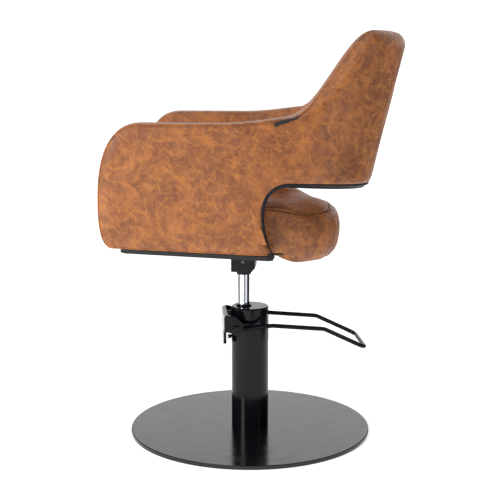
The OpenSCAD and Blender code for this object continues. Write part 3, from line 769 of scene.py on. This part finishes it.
def even_loop(count):
    """Even arc-length samples of the outline's parameter, so that the loop's points are evenly spaced."""
    dense = cushion_at(np.linspace(0, 2 * math.pi, 4000, endpoint=False), 0.0)
    steps = np.r_[0, np.cumsum(np.linalg.norm(np.diff(np.vstack([dense, dense[:1]]), axis=0), axis=1))]
    targets = np.linspace(0, steps[-1], count, endpoint=False)
    index = np.interp(targets, steps[:-1], np.arange(4000))
    return index / 4000 * 2 * math.pi


def cushion_at(a, inward):
    """Points of the cushion's outline in the seat's own frame: square in front, rounded behind."""
    c, s = np.cos(a), np.sin(a)
    p = np.where(s < 0, 2 / 6, 2 / 2.3)
    reach = np.where(s < 0, CUSHION_WIDEST - CUSHION_FRONT - inward, CUSHION_REAR - CUSHION_WIDEST - inward)
    x = (CUSHION_HW - inward) * np.sign(c) * np.abs(c) ** p
    y = CUSHION_WIDEST + reach * np.sign(s) * np.abs(s) ** p
    return np.stack([x, y], -1)


# Inset and height of the seam beside the arms, then at the rear
SEAM = (0.001, SEAM_H, 0.025, SEAM_H - 0.020)
# The boxing's section from where it is turned under to the seam, each point given as the seam is.
# At the rear it is full and reaches under the board.
BOXING = [(0.062, 0.0106, 0.066, 0.0060), (0.030, 0.0106, 0.056, -0.0060), (0.006, 0.0110, 0.044, -0.0190),
          (0.001, 0.0140, 0.031, -0.0240), (0.000, 0.0220, 0.014, -0.0180), (0.000, 0.0340, 0.004, 0.0020),
          (-0.001, 0.0480, 0.000, 0.0260), (-0.002, 0.0640, -0.001, 0.0440), (-0.001, 0.0860, 0.003, 0.0640),
          (0.000, 0.0990, 0.011, 0.0800), SEAM]
# How far in from the seam, and how much above it, the crown's rings are
CROWN = [(0.003, 0.0035), (0.008, 0.0080), (0.018, 0.0140), (0.032, 0.0175), (0.050, 0.0195), (0.075, 0.0210),
         (0.105, 0.0220), (0.140, 0.0230), (0.180, 0.0230), (0.210, 0.0230)]
LOW_RINGS = 9                        # rings of the turned-under leather, which drops a little sooner
CROWN_REAR = 0.62                    # the crown's height at the rear over its height beside the arms


def seam_path(count):
    """The seam between the cushion's top and its boxing."""
    a = even_loop(count)
    share = rear_share(cushion_at(a, 0.0)[:, 1])
    return np.c_[cushion_at(a, mix(SEAM[0], SEAM[2], share)), mix(SEAM[1], SEAM[3], share)]


def cushion_rings(count):
    """Rings of the cushion from under its lower edge up the boxing and over the crowned top."""
    a = even_loop(count)
    share = rear_share(cushion_at(a, 0.0)[:, 1])
    sections = list(BOXING)
    for i in range(len(BOXING) - 1):
        before, p, q, after = (np.array(BOXING[min(max(k, 0), len(BOXING) - 1)]) for k in range(i - 1, i + 3))
        halfway = (9 * (p + q) - before - after) / 16
        sections.insert(2 * i + 1, tuple(halfway))
    for x, lift in CROWN:
        sections.append((SEAM[0] + x, SEAM[1] + lift, SEAM[2] + x, SEAM[3] + lift * CROWN_REAR))
    low_share = smooth((cushion_at(a, 0.0)[:, 1] - 0.045) / 0.120)
    out = []
    for k, (side_in, side_z, rear_in, rear_z) in enumerate(sections):
        turned = mix(low_share, share, smooth((k - LOW_RINGS) / LOW_RINGS))
        out.append(np.c_[cushion_at(a, mix(side_in, rear_in, turned)), mix(side_z, rear_z, turned)])
    return out


def cushion():
    """The upholstered cushion: a closed form, puffed by a cloth simulation between its seams."""
    obj = skin("seat_cushion_leather", cushion_rings(150), LEATHER)
    remesh = obj.modifiers.new("even", "REMESH")
    remesh.mode, remesh.voxel_size, remesh.use_smooth_shade = "VOXEL", 0.005, True
    apply_modifiers(obj)
    obj.data.materials.clear()
    obj.data.materials.append(LEATHER)
    puff(obj, cap=0.005)
    sub = obj.modifiers.new("fine", "SUBSURF")
    sub.levels = sub.render_levels = 1
    apply_modifiers(obj)
    shape_seams(obj)
    obj.data.transform(SEAT_FRAME)
    obj.data.polygons.foreach_set("use_smooth", [True] * len(obj.data.polygons))
    return obj


def nearest(points, path):
    """Distance from each point to a dense path."""
    best = np.full(len(points), 1e9)
    for p in path:
        best = np.minimum(best, ((points - p) ** 2).sum(1))
    return np.sqrt(best)


def puff(obj, cap):
    """Inflates a closed cloth form a little, its underside and seam held."""
    co = np.zeros(len(obj.data.vertices) * 3)
    obj.data.vertices.foreach_get("co", co)
    rest = co.reshape(-1, 3).copy()
    held = obj.vertex_groups.new(name="held")
    near_seam = nearest(rest, seam_path(300)) < 0.005
    under = rest[:, 2] < mix(0.013, -0.019, rear_share(rest[:, 1]))
    for i in np.nonzero(near_seam | under)[0]:
        held.add([int(i)], 1.0, "REPLACE")
    cloth = obj.modifiers.new("cloth", "CLOTH")
    s = cloth.settings
    s.quality = 4
    s.mass = 0.4
    s.tension_stiffness = s.compression_stiffness = 25
    s.shear_stiffness = 15
    s.bending_stiffness = 2.0
    s.use_pressure, s.uniform_pressure_force = True, 4.0
    s.vertex_group_mass = "held"
    s.effector_weights.gravity = 0
    scene = bpy.context.scene
    for f in range(1, 21):
        scene.frame_set(f)
    depsgraph = bpy.context.evaluated_depsgraph_get()
    mesh = obj.evaluated_get(depsgraph).to_mesh()
    moved = np.zeros(len(mesh.vertices) * 3)
    mesh.vertices.foreach_get("co", moved)
    moved = moved.reshape(-1, 3)
    shift = moved - rest
    length = np.linalg.norm(shift, axis=1, keepdims=True)
    shift *= np.minimum(1.0, cap / np.maximum(length, 1e-9))
    obj.modifiers.clear()
    obj.vertex_groups.clear()
    obj.data.vertices.foreach_set("co", (rest + shift).ravel())
    scene.frame_set(1)


def shape_seams(obj):
    """Pulls the seam in and puckers the leather under the rear edge."""
    mesh = obj.data
    count = len(mesh.vertices)
    co, no = np.zeros(count * 3), np.zeros(count * 3)
    mesh.vertices.foreach_get("co", co)
    mesh.vertices.foreach_get("normal", no)
    co, no = co.reshape(-1, 3), no.reshape(-1, 3)
    reach = nearest(co, seam_path(500))
    pull = 0.0030 * np.exp(-(reach / 0.0035) ** 2)
    angle = np.arctan2(co[:, 1] - CUSHION_WIDEST, co[:, 0])
    rear = smooth(co[:, 1] / 0.12)
    low = smooth((0.050 - co[:, 2]) / 0.05) * smooth((co[:, 2] + 0.026) / 0.006)
    folds = sum(amp * np.sin(freq * angle + phase) for freq, amp, phase in
                ((23, 0.55, 0.4), (41, 0.45, 1.9), (67, 0.35, 4.1), (95, 0.2, 2.6)))
    pucker = 0.0011 * folds * rear * low * smooth((co[:, 2] + 0.020) / 0.020)
    below_seam = smooth((SEAM_H - 0.01 - co[:, 2]) / 0.03)
    long_folds = 0.0007 * np.sin(17 * angle + 3 * np.sin(5 * angle)) * rear * below_seam
    co += no * (-pull + pucker + long_folds)[:, None]
    mesh.vertices.foreach_set("co", co.ravel())
    mesh.update()


seat = cushion()
place(seat, "seat", "leather_tan", "seat_side_cover", "seat_top_cover", "seat_foam")


def cushion_welt():
    """The corded seam between the cushion's top and its boxing."""
    path = seam_path(420)
    centre = path[:, :2].mean(0)
    out = path[:, :2] - centre
    out /= np.linalg.norm(out, axis=1)[:, None]
    path[:, :2] += out * 0.0004
    # The welt takes the darkened copy of the leather, painted shade along the seam.
    obj = cord_round("seat_cushion_welt", path, 0.0022, SHADED_SEAM_LEATHER, sides=10)
    obj.data.transform(SEAT_FRAME)
    return obj


welt = cushion_welt()
place(welt, "seat", "leather_seam", "seat_welt")

# ---------------------------------------------------------------- stage, light and camera

floor_verts, floor_faces = [], []
# The floor's section runs level behind the chair, as seen by the camera, then curves up into a wall
profile = [(3.2, 0.0), (-4.0, 0.0)]
for i in range(13):
    t = math.pi / 2 * i / 12
    profile.append((-4.0 - 2.0 * math.sin(t), 2.0 - 2.0 * math.cos(t)))
profile.append((-6.0, 9.0))
for x, z in profile:
    for y in (-7.0, 7.0):
        floor_verts.append((x, y, z - 0.0003))
for i in range(len(profile) - 1):
    a = i * 2
    floor_faces.append((a, a + 1, a + 3, a + 2))
pale = Nodes("pale_floor")
pale_colour = pale.blend(pale.span(pale.noise(pale.coords(), 3.0, 3.0), 0.3, 0.7), (0.90, 0.90, 0.90, 1),
                         (0.93, 0.93, 0.93, 1))
pale.set(Emission_Color=(1, 1, 1, 1), Emission_Strength=0.64)
floor = new_object("studio_floor", floor_verts, floor_faces, pale.set(Base_Color=pale_colour, Roughness=0.9))


def area_light(name, location, target, size, energy, colour=(1, 1, 1)):
    data = bpy.data.lights.new(name, "AREA")
    data.shape, data.size, data.size_y = "RECTANGLE", size[0], size[1]
    data.energy, data.color = energy, colour
    obj = bpy.data.objects.new(name, data)
    obj.location = location
    obj.rotation_euler = (Vector(target) - Vector(location)).to_track_quat("-Z", "Y").to_euler()
    bpy.context.scene.collection.objects.link(obj)


area_light("key_softbox", (2.6, -2.2, 1.5), (0, 0, 0.6), (1.2, 1.2), 66)
area_light("top_softbox", (0.6, -0.8, 3.2), (0, 0, 0.5), (2.0, 2.0), 14)
area_light("strip_softbox", (1.1, 2.6, 1.9), (0, 0.1, 0.8), (0.35, 1.8), 7)

world = bpy.data.worlds.new("studio_white")
world.use_nodes = True
world.node_tree.nodes["Background"].inputs["Color"].default_value = (1.0, 1.0, 1.0, 1)
world.node_tree.nodes["Background"].inputs["Strength"].default_value = 0.27
bpy.context.scene.world = world
bpy.context.scene.view_settings.view_transform = "Standard"

# Black flags at both sides and on the floor in front, seen only in the polished metal
flag_material = Nodes("black_flag").set(Base_Color=(0.01, 0.01, 0.01, 1), Roughness=0.9)
FLAGS = {
    "flag_front_side": [(-1.9, -1.0, 0.0), (0.0, -1.0, 0.0), (0.0, -1.0, 0.9), (-1.9, -1.0, 0.9)],
    "flag_rear_side": [(-1.9, 1.0, 0.0), (0.35, 1.0, 0.0), (0.35, 1.0, 0.9), (-1.9, 1.0, 0.9)],
    "flag_floor": [(1.2, 0.25, 0.002), (3.1, 0.70, 0.002), (3.1, 2.2, 0.002), (1.2, 0.80, 0.002)],
}
for flag_name, corners in FLAGS.items():
    flag = new_object(flag_name, corners, [(0, 1, 2, 3)], flag_material)
    flag.visible_camera = flag.visible_diffuse = flag.visible_shadow = False

CAMERA_DISTANCE, CAMERA_HEIGHT = 2.690, 0.9125
CAMERA_PITCH = 0.170                 # radians below the horizontal
CHAIR_YAW = 0.092                    # how far the camera stands behind square-on, in radians
FOCAL_SHARE = 1120 / 500             # focal length over the picture's width
camera_data = bpy.data.cameras.new("camera")
camera_data.sensor_width = 36.0
camera_data.lens = 36.0 * FOCAL_SHARE
camera = bpy.data.objects.new("camera", camera_data)
camera.location = (CAMERA_DISTANCE * math.cos(CHAIR_YAW), CAMERA_DISTANCE * math.sin(CHAIR_YAW),
                   CAMERA_HEIGHT)
camera.rotation_euler = (math.pi / 2 - CAMERA_PITCH, 0, math.pi / 2 + CHAIR_YAW)
bpy.context.scene.collection.objects.link(camera)
bpy.context.scene.camera = camera
